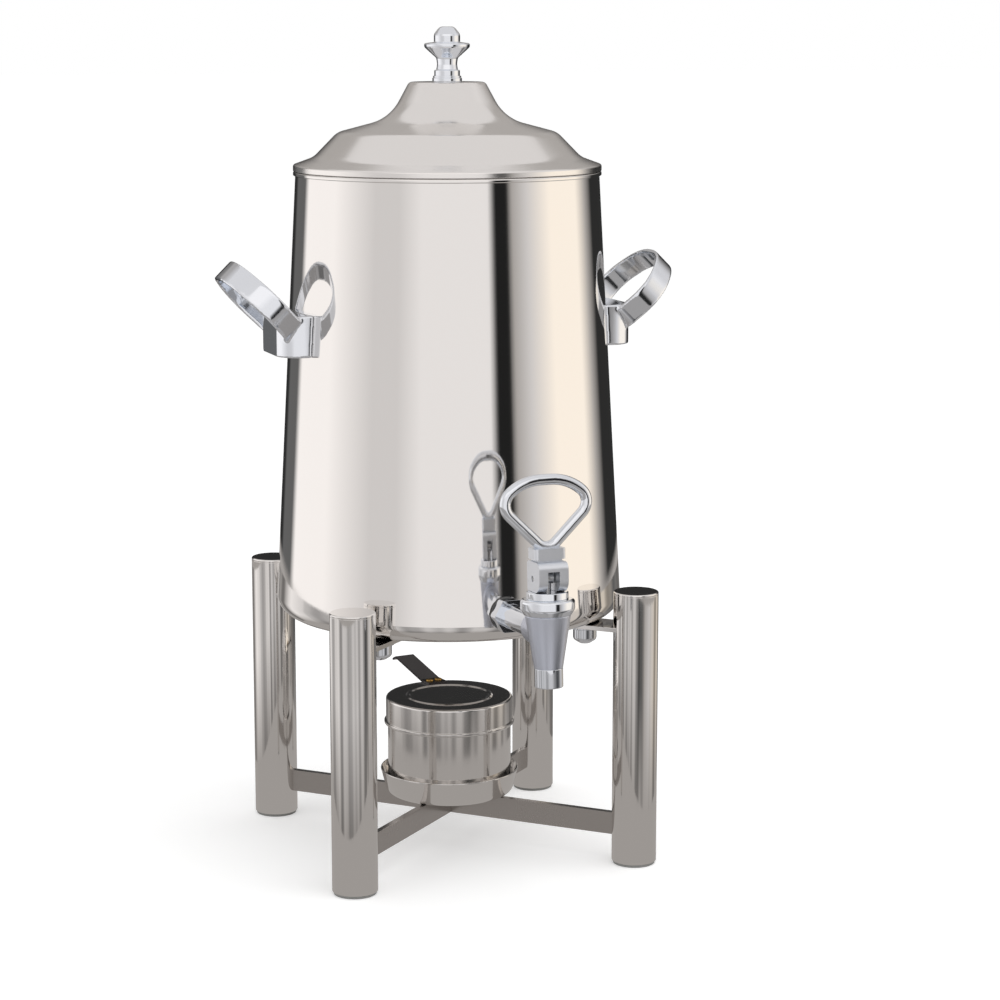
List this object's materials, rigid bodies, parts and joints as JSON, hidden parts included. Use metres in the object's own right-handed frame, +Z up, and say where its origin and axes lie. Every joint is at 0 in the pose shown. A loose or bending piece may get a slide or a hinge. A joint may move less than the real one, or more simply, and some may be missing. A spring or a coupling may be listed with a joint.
{
  "type": "coffee urn",
  "caption": "Polished stainless coffee urn on tube legs with a lever tap, two cast loop handles, a domed lid with a knob, and a fuel holder with a snuffer cover below.",
  "frame": {"origin": "On the floor plane under the urn body's axis, at the centre of the circle of the four feet.", "axes": "+Z is up along the urn's axis; the tap faces -Y; the two handles are on +X and -X; the legs are on the four diagonals."},
  "size_m": [0.3356, 0.3443, 0.5878],
  "materials": {
    "polished_steel": "mirror polished stainless steel",
    "bright_chrome": "bright chrome plate",
    "satin_plated_brass": "satin chrome plate on cast brass",
    "plain_steel": "plain stainless fasteners",
    "brass": "plain brass rivets",
    "grey_rubber": "grey food grade silicone rubber",
    "dark_rubber": "dark rubber foot plug"
  },
  "bodies": {
    "urn": {"urn_body": "polished_steel", "leg_front_left": "polished_steel", "leg_front_right": "polished_steel", "leg_rear_right": "polished_steel", "leg_rear_left": "polished_steel", "leg_cap_front_left": "polished_steel", "leg_cap_front_right": "polished_steel", "leg_cap_rear_right": "polished_steel", "leg_cap_rear_left": "polished_steel", "leg_foot_front_left": "dark_rubber", "leg_foot_front_right": "dark_rubber", "leg_foot_rear_right": "dark_rubber", "leg_foot_rear_left": "dark_rubber", "bracket_front_left": "polished_steel", "bracket_front_right": "polished_steel", "bracket_rear_right": "polished_steel", "bracket_rear_left": "polished_steel", "base_studs": "plain_steel", "dome_nuts": "bright_chrome", "cross_bar_lower_half": "polished_steel", "cross_bar_upper_half": "polished_steel", "burner_dish": "polished_steel", "dish_screw": "plain_steel", "handle_right": "bright_chrome", "handle_left": "bright_chrome", "handle_screws": "plain_steel", "handle_washers": "plain_steel", "shank": "bright_chrome", "shank_gasket_outer": "grey_rubber", "shank_gasket_inner": "grey_rubber", "shank_nut": "bright_chrome", "tap_body": "satin_plated_brass", "spout_tip": "bright_chrome", "tap_collar": "bright_chrome", "bonnet": "bright_chrome", "stem_spring": "plain_steel"},
    "lid": {"lid": "polished_steel", "finial": "bright_chrome", "finial_washer": "plain_steel", "finial_nut": "plain_steel"},
    "valve_stem": {"stem": "plain_steel", "seat_cup": "grey_rubber", "lever_pin": "plain_steel"},
    "lever": {"lever": "bright_chrome"},
    "fuel_holder": {"fuel_holder": "polished_steel"},
    "snuffer_cover": {"snuffer_cover": "polished_steel", "cover_strip": "polished_steel", "cover_rivets": "brass"}
  },
  "joints": [
    {"name": "lid_lift", "type": "slide", "parent": "urn", "child": "lid", "axis": [0, 0, 1], "range_m": [0, 0.08]},
    {"name": "stem_slide", "type": "slide", "parent": "urn", "child": "valve_stem", "axis": [0, 0.0548, 0.9985], "range_m": [0, 0.0033], "stiffness_N_per_m": 300, "deforming": ["stem_spring"]},
    {"name": "lever_tilt", "type": "hinge", "parent": "valve_stem", "child": "lever", "pos_m": [0, -0.20138, 0.23323], "axis": [1, 0, 0], "range_deg": [0, 45], "stiffness_Nm_per_rad": 0.05},
    {"name": "holder_lift", "type": "slide", "parent": "urn", "child": "fuel_holder", "axis": [0, 0, 1], "range_m": [0, 0.016]},
    {"name": "cover_lift", "type": "slide", "parent": "fuel_holder", "child": "snuffer_cover", "axis": [0, 0, 1], "range_m": [0, 0.022]}
  ],
  "couplings": [
    {"joint": "stem_slide", "follows": "lever_tilt", "m_per_rad": 0.0042}
  ]
}
